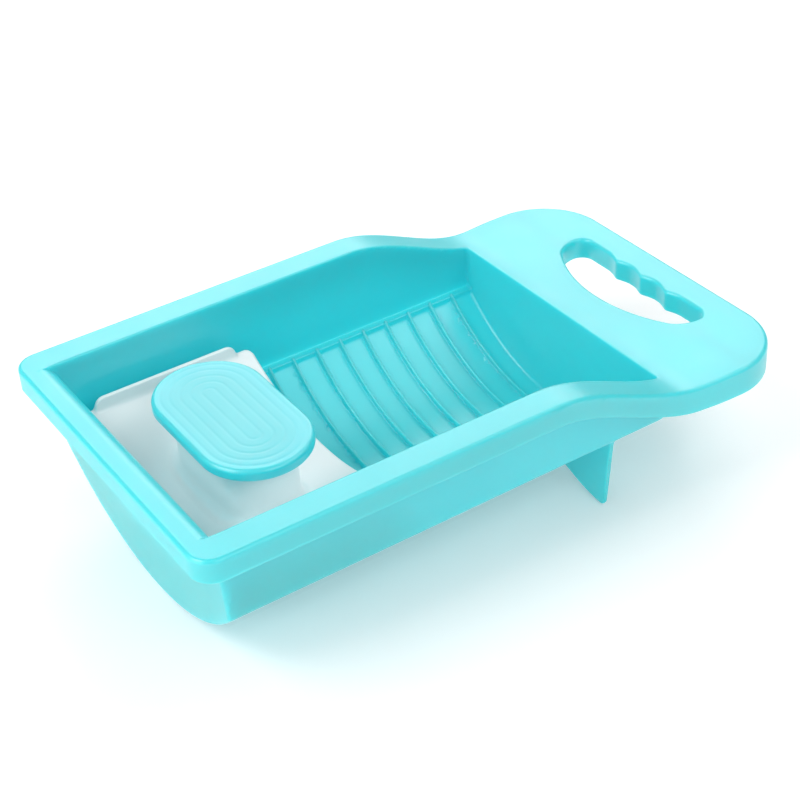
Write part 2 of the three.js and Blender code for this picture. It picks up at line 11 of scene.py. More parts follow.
import bpy
import numpy as np
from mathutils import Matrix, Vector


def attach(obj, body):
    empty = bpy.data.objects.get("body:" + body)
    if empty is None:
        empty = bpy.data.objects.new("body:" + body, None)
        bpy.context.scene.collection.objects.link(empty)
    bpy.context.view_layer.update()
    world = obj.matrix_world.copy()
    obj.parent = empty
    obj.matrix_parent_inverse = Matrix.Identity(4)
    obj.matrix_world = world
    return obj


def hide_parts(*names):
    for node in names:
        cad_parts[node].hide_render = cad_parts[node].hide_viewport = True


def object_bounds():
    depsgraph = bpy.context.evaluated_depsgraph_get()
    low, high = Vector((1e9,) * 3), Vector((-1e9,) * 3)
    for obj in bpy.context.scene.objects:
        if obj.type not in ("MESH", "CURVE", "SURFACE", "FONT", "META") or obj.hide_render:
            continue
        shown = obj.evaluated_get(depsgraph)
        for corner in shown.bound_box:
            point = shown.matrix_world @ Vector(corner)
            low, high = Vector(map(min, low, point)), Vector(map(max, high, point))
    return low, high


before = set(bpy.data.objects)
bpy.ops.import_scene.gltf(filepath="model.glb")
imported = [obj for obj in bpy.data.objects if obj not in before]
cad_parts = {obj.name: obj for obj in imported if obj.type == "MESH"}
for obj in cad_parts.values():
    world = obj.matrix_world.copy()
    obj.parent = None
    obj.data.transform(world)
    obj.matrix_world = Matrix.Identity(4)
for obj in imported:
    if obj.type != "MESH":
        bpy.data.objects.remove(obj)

import openvdb
from mathutils import Matrix, Vector

CAD_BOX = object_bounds()
MM = 0.001

# ---------------------------------------------------------------- driving dimensions, mm

BASIN_HALF_WIDTH = 75.0
BASIN_LENGTH = 231.0
OUTER_HALF_WIDTH = 78.3
END_WALL = 2.6
HANDLE_END_WALL = 2.8
CLOSED_END_X = 3.7
CLOSED_END_SLOPE = math.tan(math.radians(2.4))
CLOSED_EDGE_RADIUS = 8.0
CLOSED_CORNER_LEAST = 0.1
CLOSED_CORNER_GROWTH = 1.5
INNER_EDGE_LEAST = 0.03
INNER_EDGE_GROWTH = 0.87
INNER_EDGE_START_X = -3.0
HANDLE_END_SLOPE = math.tan(math.radians(1.5))
HANDLE_END_FILLET = 1.6
FLOOR_CENTRE_Z = 30.4
FLOOR_RADIUS = 105.6
OUTER_FLOOR_RADIUS = 108.1
TROUGH_CORNER_ROUND = 1.5
TROUGH_BEND_ROUND = 0.8
LEDGE_Z = -45.2
LEDGE_INNER_Y = 70.9
LEDGE_FILLET = 0.4
LEDGE_FOOT_FILLET = 0.5
LEDGE_EDGE_ROUND = 0.6

RIB_COUNT = 16
RIB_PITCH = 13.63
FIRST_RIB_X = 13.6
RIB_WIDTH = 1.6
RIB_HEIGHT = 2.8
RIB_ROUND = 0.6
RIB_FILLET = 0.35
RIB_SUNK = 1.2
RIB_END_SUNK = 0.8

PLATE = 2.6
OVERLAP = 1.0
LIP_WALL = 2.4
LIP_INNER_ROUND = 0.7
RIM_HALF_WIDTH = 90.6
RIM_END_X = -11.6
RIM_CORNER = 11.0
RIM_TOP_ROUND = 1.8
RIM_UNDER_ROUND = 1.2
RIM_LIP = 11.6
LIP_END_ROUND = 0.8
HANDLE_LIP = 14.6
HANDLE_DROP = 24.0
DROP_START_X = 162.0
DROP_END_X = 243.0
WAIST_START_X = 150.0
WAIST_X = 215.0
WAIST_HALF_WIDTH = 89.8
FLARE_X = 262.0
FLARE_HALF_WIDTH = 92.8
HANDLE_END_X = 302.0
HANDLE_CORNER = 35.0

SLOT_NEAR_X = 255.3
SLOT_NEAR_RADIUS = 80.0
SLOT_END_Y = 47.5
SLOT_CUSP_X = 283.4
SCALLOP_PITCH = 18.9
SCALLOP_DEPTH = 2.6
SCALLOP_CUSP_SOFTNESS = 0.03
SLOT_SHOULDER_ROUND = 5.0
SLOT_END_ROUND = 6.5
SLOT_EDGE_ROUND = 1.6
SKIRT_WALL = 2.2
SKIRT_DEPTH = 11.8
SKIRT_ROUND = 0.7
SKIRT_FILLET = 1.0
WEB_X = 273.0
WEB_WALL = 1.8
WEB_DEPTH = 10.0
WEB_FILLET = 0.7

FIN_TIP_X = 204.6
FIN_TIP_Z = -86.6
FIN_HEAD_Z = -40.0
FIN_SUNK = 1.5
FIN_LEAN = math.tan(math.radians(5.9))
FIN_OUTER_Y = 71.2
FIN_FOOT_INNER_Y = 62.0
FIN_FADE_Y = 26.0
FIN_FOOT_WALL = 2.2
FIN_DRAFT = 0.0073
FIN_OUTER_CORNER = 3.0
FIN_INNER_CORNER = 3.5
FIN_EDGE_ROUND = 0.7
FIN_FILLET = 1.3

BRUSH_X = 52.5
PLATE_HALF_LENGTH = 45.75
PLATE_HALF_WIDTH = 67.5
PLATE_ARC_Z = 74.5
PLATE_TOP_RADIUS = 120.0
PLATE_BOTTOM_RADIUS = 127.0
GUARD_HALF_LENGTH = 37.0
GUARD_TOP_Z = -19.9
GUARD_WALL = 2.2
GUARD_CORNER = 5.0
GUARD_EDGE_ROUND = 0.8
GUARD_FILLET = 1.5
PLATE_CORNER = 4.0
PLATE_EDGE_ROUND = 1.5
PLATE_OVERLAP = 2.0
CAP_TOP_Z = -5.9
CAP_BOTTOM_Z = -12.1
CAP_STRAIGHT = 20.0
CAP_RADIUS = 26.1
CAP_EDGE_ROUND = 2.0
CAP_GROOVES = (3.2, 8.4, 13.2, 18.0, 22.0)
GROOVE_DEPTH = 0.08
GROOVE_SPREAD = 0.8
PLUG_CLEARANCE = 0.4
PLUG_DEPTH = 3.0
PLUG_ROUND = 0.5
PLUG_FILLET = 0.3
BOSS_RADIUS = 4.4
BOSS_ROUND = 0.4
BOSS_FILLET = 0.8
BORE_DEPTH = 22.0
BORE_EDGE_ROUND = 0.2
NECK_RADIUS = 17.6
NECK_ROUND = 0.6
NECK_FILLET = 6.0
NECK_ROOM = 15.0
NECK_ROOM_FLOOR = 1.5
NECK_ROOM_FILLET = 1.5
NECK_ROOM_EDGE = 0.4
SCREW_Y = 22.0
SCREW_SEAT_Z = -45.0
SCREW_CLEARANCE = 2.05
POST_TOP_Z = -38.0
POST_RADIUS = 5.4
POST_ROUND = 0.5
POST_FILLET = 0.8
HOLE_EDGE_ROUND = 0.3
HEAD_ROOM = 3.8

TUFT_ROWS = 9
TUFT_COLUMNS = 6
TUFT_PITCH = 14.0
TUFT_ANGLE = math.radians(6)
TUFT_HOLE_RADIUS = 2.45
TUFT_HOLE_DEPTH = 2.2
GAP = 0.3

HEAD_RADIUS = 3.5
HEAD_HEIGHT = 2.4
HEAD_ROUND = 1.1
SEAT_ROUND = 0.2
RECESS_ARM = 0.5
RECESS_RADIUS = 1.9
RECESS_TAPER = 0.3
RECESS_FLOOR_Z = -0.9
RECESS_EDGE = 0.1
SHANK_RADIUS = 1.2
THREAD_HEIGHT = 0.5
THREAD_PITCH = 1.6
SCREW_POINT_Z = 19.6
SHANK_FILLET = 0.3

# ---------------------------------------------------------------- tray frame to row frame

belly_z = FLOOR_CENTRE_Z - OUTER_FLOOR_RADIUS
crest_radius = FLOOR_RADIUS - RIB_HEIGHT
belly_x = CLOSED_END_X - END_WALL - CLOSED_END_SLOPE * belly_z
tilt = math.atan2(belly_z - FIN_TIP_Z, FIN_TIP_X - belly_x)
TURN = Matrix.Rotation(-tilt, 4, "Y")
row_min_x = (TURN @ Vector((RIM_END_X, 0, 0))).x
row_max_x = (TURN @ Vector((HANDLE_END_X, 0, -HANDLE_DROP - HANDLE_LIP))).x
foot = TURN @ Vector((FIN_TIP_X, 0, FIN_TIP_Z))
TRAY_TO_ROW = Matrix.Translation((-(row_min_x + row_max_x) / 2, 0, -foot.z)) @ TURN
TRAY_TO_ROW = Matrix.Scale(MM, 4) @ TRAY_TO_ROW
BRUSH_TO_ROW = TRAY_TO_ROW @ Matrix.Translation((BRUSH_X, 0, 0))

# ---------------------------------------------------------------- fields


def smooth(t):
    s = np.clip(t, 0, 1)
    return s * s * (3 - 2 * s)


def both(a, b, r):
    """Where both fields are solid, its edge rounded to radius r."""
    return np.minimum(np.maximum(a, b), -r) + np.hypot(np.maximum(a + r, 0), np.maximum(b + r, 0))


def either(a, b, r):
    """Both solids joined, with a fillet of radius r between them."""
    return -both(-a, -b, r)


def cut(a, b, r):
    """Solid a without solid b, the new edge rounded to radius r."""
    return both(a, -b, r)


def rim_z(x):
    return -HANDLE_DROP * smooth((x - DROP_START_X) / (DROP_END_X - DROP_START_X))


def lip_depth(x):
    change = smooth((x - DROP_START_X) / (HANDLE_END_X - DROP_START_X))
    return RIM_LIP + (HANDLE_LIP - RIM_LIP) * change


def above_rim(x, z):
    """Distance above the rim's top surface, which runs down in an S to the handle."""
    span = DROP_END_X - DROP_START_X
    t = np.clip((x - DROP_START_X) / span, 0, 1)
    slope = 6 * t * (1 - t) * HANDLE_DROP / span
    return (z - rim_z(x)) / np.sqrt(1 + slope * slope)


def rim_outline(x, y):
    waist = smooth((x - WAIST_START_X) / (WAIST_X - WAIST_START_X))
    flare = smooth((x - WAIST_X) / (FLARE_X - WAIST_X))
    half = RIM_HALF_WIDTH - (RIM_HALF_WIDTH - WAIST_HALF_WIDTH) * waist
    half = half + (FLARE_HALF_WIDTH - WAIST_HALF_WIDTH) * flare
    side = np.abs(y) - half
    closed_end = both(side, RIM_END_X - x, RIM_CORNER)
    return both(closed_end, x - HANDLE_END_X, HANDLE_CORNER)


def slot_outline(x, y):
    near = np.hypot(x - SLOT_NEAR_X - SLOT_NEAR_RADIUS, y) - SLOT_NEAR_RADIUS
    across = np.minimum(np.abs(y), 1.5 * SCALLOP_PITCH)
    wave = np.sqrt(np.sin(math.pi * across / SCALLOP_PITCH) ** 2 + SCALLOP_CUSP_SOFTNESS)
    far = x - SLOT_CUSP_X - SCALLOP_DEPTH * wave
    return both(both(near, far, SLOT_SHOULDER_ROUND), np.abs(y) - SLOT_END_Y, SLOT_END_ROUND)


def closed_end(x, z, at):
    return -(x - at + z * CLOSED_END_SLOPE)


def handle_end(x, z, at):
    return x - at - HANDLE_END_SLOPE * (z + HANDLE_DROP)


def trough_outside(x, y, z):
    belly = np.hypot(y, z - FLOOR_CENTRE_Z) - OUTER_FLOOR_RADIUS
    section = both(np.abs(y) - OUTER_HALF_WIDTH, belly, TROUGH_BEND_ROUND)
    ends = both(section, closed_end(x, z, CLOSED_END_X - END_WALL), TROUGH_CORNER_ROUND)
    ends = both(ends, handle_end(x, z, BASIN_LENGTH + HANDLE_END_WALL), TROUGH_CORNER_ROUND)
    return np.maximum(ends, above_rim(x, z) + PLATE / 2)


def trough_inside(x, y, z):
    """The room in the trough, which opens out at the closed end over a wide round edge."""
    side = np.abs(y)
    floor = np.hypot(y, z - FLOOR_CENTRE_Z) - FLOOR_RADIUS
    upper = both(side - BASIN_HALF_WIDTH, LEDGE_Z - z, LEDGE_FILLET)
    lower = both(side - LEDGE_INNER_Y, floor, LEDGE_FOOT_FILLET)
    section = either(upper, lower, LEDGE_EDGE_ROUND)
    wall = either(closed_end(x, z, CLOSED_END_X), -z, CLOSED_EDGE_RADIUS)
    wall = np.maximum(wall, CLOSED_END_X - CLOSED_EDGE_RADIUS - x)
    corner = CLOSED_CORNER_LEAST + CLOSED_CORNER_GROWTH * smooth(-z / CLOSED_EDGE_RADIUS)
    ends = both(section, wall, corner)
    return both(ends, handle_end(x, z, BASIN_LENGTH), HANDLE_END_FILLET)


def closed_end_corner(x, y, z):
    """Material that follows the round edge, under the rim and outside the closed end's wall."""
    wall = closed_end(x, z, CLOSED_END_X - END_WALL)
    under = either(-PLATE - z, wall, CLOSED_EDGE_RADIUS - PLATE)
    between = np.maximum(RIM_END_X + LIP_WALL / 2 - x, x - CLOSED_END_X + END_WALL / 2)
    corner = both(under, np.abs(y) - OUTER_HALF_WIDTH, TROUGH_CORNER_ROUND)
    return np.maximum(corner, np.maximum(between, z + PLATE / 2))


def washing_ribs(x, y, z):
    along = x - FIRST_RIB_X
    nearest = np.clip(np.round(along / RIB_PITCH), 0, RIB_COUNT - 1)
    from_centre = np.hypot(y, z - FLOOR_CENTRE_Z)
    flank = np.abs(along - nearest * RIB_PITCH) - RIB_WIDTH / 2
    rib = both(flank, crest_radius - from_centre, RIB_ROUND)
    past_ledge = np.abs(y) - LEDGE_INNER_Y - RIB_END_SUNK
    return np.maximum(rib, np.maximum(past_ledge, from_centre - FLOOR_RADIUS - RIB_SUNK))


def standing_fins(x, y, z):
    rise = z - FIN_TIP_Z
    sheet = np.abs(x - FIN_TIP_X - FIN_LEAN * rise) - FIN_FOOT_WALL / 2 - FIN_DRAFT * rise
    foot_plane = -rise - math.tan(tilt) * (x - FIN_TIP_X)
    arch_slope = (belly_z + FIN_SUNK - FIN_TIP_Z) / (FIN_FOOT_INNER_Y - FIN_FADE_Y)
    arch = (arch_slope * (FIN_FOOT_INNER_Y - np.abs(y)) - rise) / math.hypot(1, arch_slope)
    outline = both(foot_plane, arch, FIN_INNER_CORNER)
    outline = both(outline, np.abs(y) - FIN_OUTER_Y, FIN_OUTER_CORNER)
    return np.maximum(both(outline, sheet, FIN_EDGE_ROUND), z - FIN_HEAD_Z)


def washboard_field(x, y, z):
    outline = rim_outline(x, y)
    top = above_rim(x, z)
    lip_end = rim_z(x) - lip_depth(x) - z
    outer = both(both(outline, top, RIM_TOP_ROUND), lip_end, LIP_END_ROUND)
    under = both(outline + LIP_WALL, top + PLATE, RIM_UNDER_ROUND)
    tray = cut(outer, under, LIP_INNER_ROUND)
    tray = either(tray, trough_outside(x, y, z), RIM_UNDER_ROUND)
    tray = np.minimum(tray, closed_end_corner(x, y, z))
    slot = slot_outline(x, y)
    skirt = np.maximum(slot - SKIRT_WALL, top + OVERLAP)
    skirt = both(skirt, rim_z(x) - SKIRT_DEPTH - z, SKIRT_ROUND)
    tray = either(tray, skirt, SKIRT_FILLET)
    web = np.maximum(np.abs(x - WEB_X) - WEB_WALL / 2, SLOT_END_Y + OVERLAP - np.abs(y))
    web = np.maximum(np.maximum(web, outline + LIP_WALL / 2), rim_z(x) - WEB_DEPTH - z)
    tray = either(tray, np.maximum(web, top + OVERLAP), WEB_FILLET)
    tray = either(tray, standing_fins(x, y, z), FIN_FILLET)
    tray = cut(tray, slot, SLOT_EDGE_ROUND)
    growth = smooth((x - INNER_EDGE_START_X) / CLOSED_EDGE_RADIUS)
    inner_edge = INNER_EDGE_LEAST + INNER_EDGE_GROWTH * growth
    tray = cut(tray, trough_inside(x, y, z), inner_edge)
    return either(tray, washing_ribs(x, y, z), RIB_FILLET)


def stadium(x, y):
    """Distance from the middle segment of the oval cap and neck."""
    return np.hypot(x, np.maximum(np.abs(y) - CAP_STRAIGHT, 0))


def tuft_holes(x, y, z):
    from_arc = np.hypot(y, PLATE_ARC_Z - z)
    angle = np.arctan2(y, PLATE_ARC_Z - z)
    half_rows = (TUFT_ROWS - 1) / 2
    row = np.clip(np.round(angle / TUFT_ANGLE), -half_rows, half_rows) * TUFT_ANGLE
    last = (TUFT_COLUMNS - 1) / 2
    column = np.clip(np.floor(x / TUFT_PITCH) + 0.5, -last, last) * TUFT_PITCH
    across = np.hypot(x - column, from_arc * np.sin(angle - row)) - TUFT_HOLE_RADIUS
    return np.maximum(across, PLATE_BOTTOM_RADIUS - TUFT_HOLE_DEPTH - from_arc)


def brush_base_field(x, y, z):
    from_arc = np.hypot(y, PLATE_ARC_Z - z)
    in_plate = from_arc - PLATE_BOTTOM_RADIUS + PLATE_OVERLAP
    plan = both(np.abs(x) - PLATE_HALF_LENGTH, np.abs(y) - PLATE_HALF_WIDTH, PLATE_CORNER)
    sheet = np.maximum(PLATE_TOP_RADIUS - from_arc, from_arc - PLATE_BOTTOM_RADIUS)
    base = both(sheet, plan, PLATE_EDGE_ROUND)
    guard = both(np.abs(x) - GUARD_HALF_LENGTH, z - GUARD_TOP_Z, GUARD_CORNER)
    guard_side = np.abs(np.abs(y) - PLATE_HALF_WIDTH + GUARD_WALL / 2) - GUARD_WALL / 2
    guard = both(guard, guard_side, GUARD_EDGE_ROUND)
    base = either(base, np.maximum(guard, in_plate), GUARD_FILLET)
    oval = stadium(x, y)
    neck = both(oval - NECK_RADIUS, z - CAP_BOTTOM_Z + GAP, NECK_ROUND)
    base = either(base, np.maximum(neck, in_plate), NECK_FILLET)
    room = both(oval - NECK_ROOM, in_plate + NECK_ROOM_FLOOR, NECK_ROOM_FILLET)
    base = cut(base, room, NECK_ROOM_EDGE)
    screw = np.hypot(x, np.abs(y) - SCREW_Y)
    post = both(screw - POST_RADIUS, z - POST_TOP_Z, POST_ROUND)
    base = either(base, np.maximum(post, in_plate), POST_FILLET)
    base = cut(base, screw - SCREW_CLEARANCE, HOLE_EDGE_ROUND)
    base = cut(base, np.maximum(screw - HEAD_ROOM, z - SCREW_SEAT_Z), HOLE_EDGE_ROUND)
    return cut(base, tuft_holes(x, y, z), HOLE_EDGE_ROUND)


def grip_cap_field(x, y, z):
    oval = stadium(x, y)
    rings = (np.exp(-(((oval - ring) / GROOVE_SPREAD) ** 2)) for ring in CAP_GROOVES)
    top = z - CAP_TOP_Z + GROOVE_DEPTH * sum(rings)
    disc = both(both(oval - CAP_RADIUS, top, CAP_EDGE_ROUND), CAP_BOTTOM_Z - z, CAP_EDGE_ROUND)
    in_disc = z - CAP_BOTTOM_Z - OVERLAP
    plug = both(oval - NECK_ROOM + PLUG_CLEARANCE, CAP_BOTTOM_Z - PLUG_DEPTH - z, PLUG_ROUND)
    cap = either(disc, np.maximum(plug, in_disc), PLUG_FILLET)
    screw = np.hypot(x, np.abs(y) - SCREW_Y)
    boss = both(screw - BOSS_RADIUS, POST_TOP_Z + GAP - z, BOSS_ROUND)
    cap = either(cap, np.maximum(boss, in_disc), BOSS_FILLET)
    bore = np.maximum(screw - SCREW_CLEARANCE, z - SCREW_SEAT_Z - BORE_DEPTH)
    return cut(cap, bore, BORE_EDGE_ROUND)


def screw_field(x, y, z):
    """A pan-head screw with a cross recess and a coarse thread, its seat at z 0."""
    radius = np.hypot(x, y)
    head = both(radius - HEAD_RADIUS, -HEAD_HEIGHT - z, HEAD_ROUND)
    head = both(head, z, SEAT_ROUND)
    arms = np.minimum(np.abs(x), np.abs(y)) - RECESS_ARM
    recess = np.maximum(arms, radius - RECESS_RADIUS + RECESS_TAPER * (z + HEAD_HEIGHT))
    head = cut(head, np.maximum(recess, z - RECESS_FLOOR_Z), RECESS_EDGE)
    turn = z / THREAD_PITCH - np.arctan2(y, x) / (2 * math.pi)
    flank = np.abs(turn - np.round(turn)) * 2
    shank = radius - SHANK_RADIUS - THREAD_HEIGHT * np.clip(1.15 - 1.6 * flank, 0, 1)
    tip = radius * 0.8 + (z - SCREW_POINT_Z) * 0.6
    shank = np.maximum(np.maximum(shank * 0.8, tip), -z - OVERLAP)
    return either(head, shank, SHANK_FILLET)


# ---------------------------------------------------------------- meshing


SLOPE_STEP = 0.01
SETTLE_ROUNDS = 4
LEAST_SLOPE = 0.05
SLAB = 24
BAND = 3


def slopes(field, points, step=SLOPE_STEP):
    """Field value and gradient at points, by small steps each way."""
    x, y, z = points.T
    grad = np.empty_like(points)
    grad[:, 0] = (field(x + step, y, z) - field(x - step, y, z)) / (2 * step)
    grad[:, 1] = (field(x, y + step, z) - field(x, y - step, z)) / (2 * step)
    grad[:, 2] = (field(x, y, z + step) - field(x, y, z - step)) / (2 * step)
    return field(x, y, z), grad


def settle(field, points, reach):
    """Pulls points onto the field's surface and gives the surface normals there."""
    for _ in range(SETTLE_ROUNDS):
        value, grad = slopes(field, points)
        size = np.maximum((grad * grad).sum(1), LEAST_SLOPE)
        move = grad * (value / size)[:, None]
        length = np.linalg.norm(move, axis=1)
        points = points - move * np.minimum(1, reach / np.maximum(length, 1e-9))[:, None]
    _, grad = slopes(field, points)
    return points, grad / np.maximum(np.linalg.norm(grad, axis=1), 1e-9)[:, None]


def sample(field, low, high, voxel):
    axes = [np.arange(a, b + voxel, voxel, dtype=np.float32) for a, b in zip(low, high)]
    values = np.empty([len(a) for a in axes], dtype=np.float32)
    for i in range(0, len(axes[0]), SLAB):
        part = axes[0][i:i + SLAB, None, None]
        values[i:i + SLAB] = field(part, axes[1][None, :, None], axes[2][None, None, :])
    return np.clip(values, -BAND * voxel, BAND * voxel)


def moulded(name, field, low, high, voxel, to_row, adaptivity=0.0):
    """A piece meshed from its field, placed in the row frame."""
    grid = openvdb.FloatGrid(BAND * voxel)
    grid.copyFromArray(sample(field, low, high, voxel))
    points, triangles, quads = grid.convertToPolygons(0.0, adaptivity)
    points = points.astype(np.float64) * voxel + np.array(low)
    points, normals = settle(field, points, voxel)
    faces = [tuple(f) for f in quads.tolist()] + [tuple(f) for f in triangles.tolist()]
    first, second, last = (points[quads[:, i]] for i in (0, 1, 3))
    if (np.cross(second - first, last - first) * normals[quads[:, 0]]).sum() < 0:
        faces = [f[::-1] for f in faces]
    mesh = bpy.data.meshes.new(name)
    mesh.from_pydata(points.tolist(), [], faces)
    mesh.polygons.foreach_set("use_smooth", np.ones(len(mesh.polygons), dtype=bool))
    mesh.transform(to_row)
    turned = normals @ np.array(to_row.to_3x3().normalized()).T
    mesh.normals_split_custom_set_from_vertices(turned.tolist())
    mesh.update()
    piece = bpy.data.objects.new(name, mesh)
    bpy.context.scene.collection.objects.link(piece)
    print(name, len(points), "points", len(faces), "faces", flush=True)
    return piece


def standing_for(piece, body, slot, *nodes):
    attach(piece, body)
    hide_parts(*nodes)


# ---------------------------------------------------------------- bristles

BRISTLES_PER_TUFT = 38
BRISTLE_RADIUS = 0.13
BRISTLE_SIDES = 4
BRISTLE_RINGS = 6
TUFT_RADIUS = 2.1
TUFT_SPLAY = 1.5
TUFT_ROOT_DEPTH = 1.9
SPLAY_CURVE = 1.4
GOLDEN_ANGLE = math.pi * (3 - math.sqrt(5))
TURN_SPREAD = 0.2
BEND_SPREAD = 0.35
LENGTH_SPREAD = 0.6
TIP_TAPER = 0.25


def to_crests(start, down):
    """How far it is from a point, along down, to a hair short of the cylinder of the rib crests."""
    b = start[1] * down[1] + (start[2] - FLOOR_CENTRE_Z) * down[2]
    c = start[1] ** 2 + (start[2] - FLOOR_CENTRE_Z) ** 2 - (crest_radius - GAP) ** 2
    return -b + math.sqrt(b * b - c)


def bristle_points(rng, angle, column_x):
    """Filaments of one tuft, from its blind hole to the rib crests, splayed and a little bent."""
    down = np.array([0.0, math.sin(angle), -math.cos(angle)])
    along = np.array([1.0, 0.0, 0.0])
    across = np.cross(down, along)
    arc_centre = np.array([0.0, 0.0, PLATE_ARC_Z])
    root = arc_centre + down * (PLATE_BOTTOM_RADIUS - TUFT_ROOT_DEPTH) + along * column_x
    lines = []
    for k in range(BRISTLES_PER_TUFT):
        share = math.sqrt((k + 0.5) / BRISTLES_PER_TUFT)
        turn = k * GOLDEN_ANGLE + rng.uniform(-TURN_SPREAD, TURN_SPREAD)
        out = along * math.cos(turn) + across * math.sin(turn)
        bend = rng.normal(0, BEND_SPREAD, 2)
        lean = bend[0] * along + bend[1] * across
        tip = root + out * share * (TUFT_RADIUS + TUFT_SPLAY) + lean
        length = to_crests(tip, down) - rng.uniform(0, LENGTH_SPREAD)
        points = []
        for s in np.linspace(0, 1, BRISTLE_RINGS):
            spread = share * (TUFT_RADIUS + TUFT_SPLAY * s ** SPLAY_CURVE)
            points.append(root + down * length * s + out * spread + lean * s * s)
        lines.append(np.array(points))
    return lines, along, across


def bristle_tuft(name, rng, angle, column_x):
    lines, along, across = bristle_points(rng, angle, column_x)
    corners = np.arange(BRISTLE_SIDES) * 2 * math.pi / BRISTLE_SIDES
    ring = np.outer(np.cos(corners), along) + np.outer(np.sin(corners), across)
    points, faces = [], []
    for line in lines:
        for i, centre in enumerate(line):
            width = BRISTLE_RADIUS * (1 - TIP_TAPER * (i / (BRISTLE_RINGS - 1)) ** 3)
            start = len(points)
            points.extend((centre + ring * width).tolist())
            for j in range(BRISTLE_SIDES if i else 0):
                k = (j + 1) % BRISTLE_SIDES
                below = start - BRISTLE_SIDES
                faces.append((below + k, below + j, start + j, start + k))
        faces.append(tuple(range(start, start + BRISTLE_SIDES))[::-1])
        first = start - BRISTLE_SIDES * (BRISTLE_RINGS - 1)
        faces.append(tuple(range(first, first + BRISTLE_SIDES)))
    mesh = bpy.data.meshes.new(name)
    mesh.from_pydata(points, [], faces)
    mesh.polygons.foreach_set("use_smooth", np.ones(len(mesh.polygons), dtype=bool))
    mesh.transform(BRUSH_TO_ROW)
    mesh.update()
    piece = bpy.data.objects.new(name, mesh)
    bpy.context.scene.collection.objects.link(piece)
    return piece


# ---------------------------------------------------------------- materials

FLOOR_DEEP = (0.93, 0.93, 0.93)
FLOOR_LIGHT = (0.95, 0.95, 0.95)
FLOOR_GLOW = 0.18
NYLON_DEEP = (0.80, 0.84, 0.83)
NYLON_LIGHT = (0.92, 0.94, 0.93)
STEEL_DEEP = (0.46, 0.48, 0.50)
STEEL_LIGHT = (0.64, 0.66, 0.68)
FINE_ROUGHNESS = (0.28, 0.42)
AQUA_DEEP = (0.06, 0.60, 0.66)
AQUA_LIGHT = (0.07, 0.62, 0.68)
AQUA_ROUGHNESS = (0.28, 0.32)
AQUA_GLOW = (0.1, 0.9, 1.0)
AQUA_GLOW_DEPTH = 0.014
WHITE_DEEP = (0.88, 0.95, 0.96)
WHITE_LIGHT = (0.90, 0.97, 0.98)
WHITE_ROUGHNESS = (0.28, 0.33)
WHITE_GLOW = (0.8, 1.0, 1.0)
WHITE_GLOW_DEPTH = 0.004

class Nodes:
    """A material's node tree, built by short calls."""

    def __init__(self, name):
        self.material = bpy.data.materials.new(name)
        self.material.use_nodes = True
        self.tree = self.material.node_tree
        self.shader = self.tree.nodes["Principled BSDF"]
        self.place = self.add("ShaderNodeTexCoord").outputs["Object"]

    def add(self, kind, **settings):
        node = self.tree.nodes.new(kind)
        for key, value in settings.items():
            setattr(node, key, value)
        return node

    def link(self, a, b):
        self.tree.links.new(a, b)

    def noise(self, scale, detail=2.0):
        node = self.add("ShaderNodeTexNoise")
        node.inputs["Scale"].default_value = scale
        node.inputs["Detail"].default_value = detail
        self.link(self.place, node.inputs["Vector"])
        return node.outputs["Fac"]

    def spread(self, value, low, high):
        node = self.add("ShaderNodeMapRange", interpolation_type="SMOOTHSTEP")
        node.inputs["From Min"].default_value = 0.3
        node.inputs["From Max"].default_value = 0.7
        node.inputs["To Min"].default_value = low
        node.inputs["To Max"].default_value = high
        self.link(value, node.inputs["Value"])
        return node.outputs["Result"]

    def blend(self, value, first, second):
        node = self.add("ShaderNodeMix", data_type="RGBA")
        node.inputs[6].default_value = (*first, 1)
        node.inputs[7].default_value = (*second, 1)
        self.link(value, node.inputs[0])
        return node.outputs[2]

    def bump(self, value, height, strength):
        node = self.add("ShaderNodeBump")
        node.inputs["Distance"].default_value = height
        node.inputs["Strength"].default_value = strength
        self.link(value, node.inputs["Height"])
        return node.outputs["Normal"]

    def set(self, **values):
        for key, value in values.items():
            self.shader.inputs[key.replace("_", " ")].default_value = value


def moulded_plastic(name, deep, light, roughness, subsurface, glow, glow_depth):
    """Satin injection-moulded plastic: faint flow clouds, uneven gloss and a slight waviness."""
    n = Nodes(name)
    clouds = n.spread(n.noise(scale=14, detail=3.0), 0, 1)
    n.link(n.blend(clouds, deep, light), n.shader.inputs["Base Color"])
    gloss = n.spread(n.noise(scale=60, detail=1.0), *roughness)
    n.link(gloss, n.shader.inputs["Roughness"])
    waviness = n.bump(n.noise(scale=45, detail=1.0), height=0.0001, strength=0.25)
    n.link(waviness, n.shader.inputs["Normal"])
    n.set(IOR=1.49, Specular_IOR_Level=1.0)
    n.set(Subsurface_Weight=subsurface, Subsurface_Scale=glow_depth)
    n.shader.inputs["Subsurface Radius"].default_value = glow
    return n.material


def bristle_nylon():
    n = Nodes("bristle_nylon")
    tone = n.spread(n.noise(scale=300), 0, 1)
    n.link(n.blend(tone, NYLON_DEEP, NYLON_LIGHT), n.shader.inputs["Base Color"])
    n.link(n.spread(n.noise(scale=900), *FINE_ROUGHNESS), n.shader.inputs["Roughness"])
    n.set(IOR=1.53, Transmission_Weight=0.3, Subsurface_Weight=0.2, Subsurface_Scale=0.001)
    return n.material


def zinc_steel():
    n = Nodes("screw_steel")
    tone = n.spread(n.noise(scale=700, detail=3.0), 0, 1)
    n.link(n.blend(tone, STEEL_DEEP, STEEL_LIGHT), n.shader.inputs["Base Color"])
    gloss = n.spread(n.noise(scale=1500, detail=3.0), *FINE_ROUGHNESS)
    n.link(gloss, n.shader.inputs["Roughness"])
    grain = n.bump(n.noise(scale=4000), height=0.00002, strength=0.4)
    n.link(grain, n.shader.inputs["Normal"])
    n.set(Metallic=1.0)
    return n.material


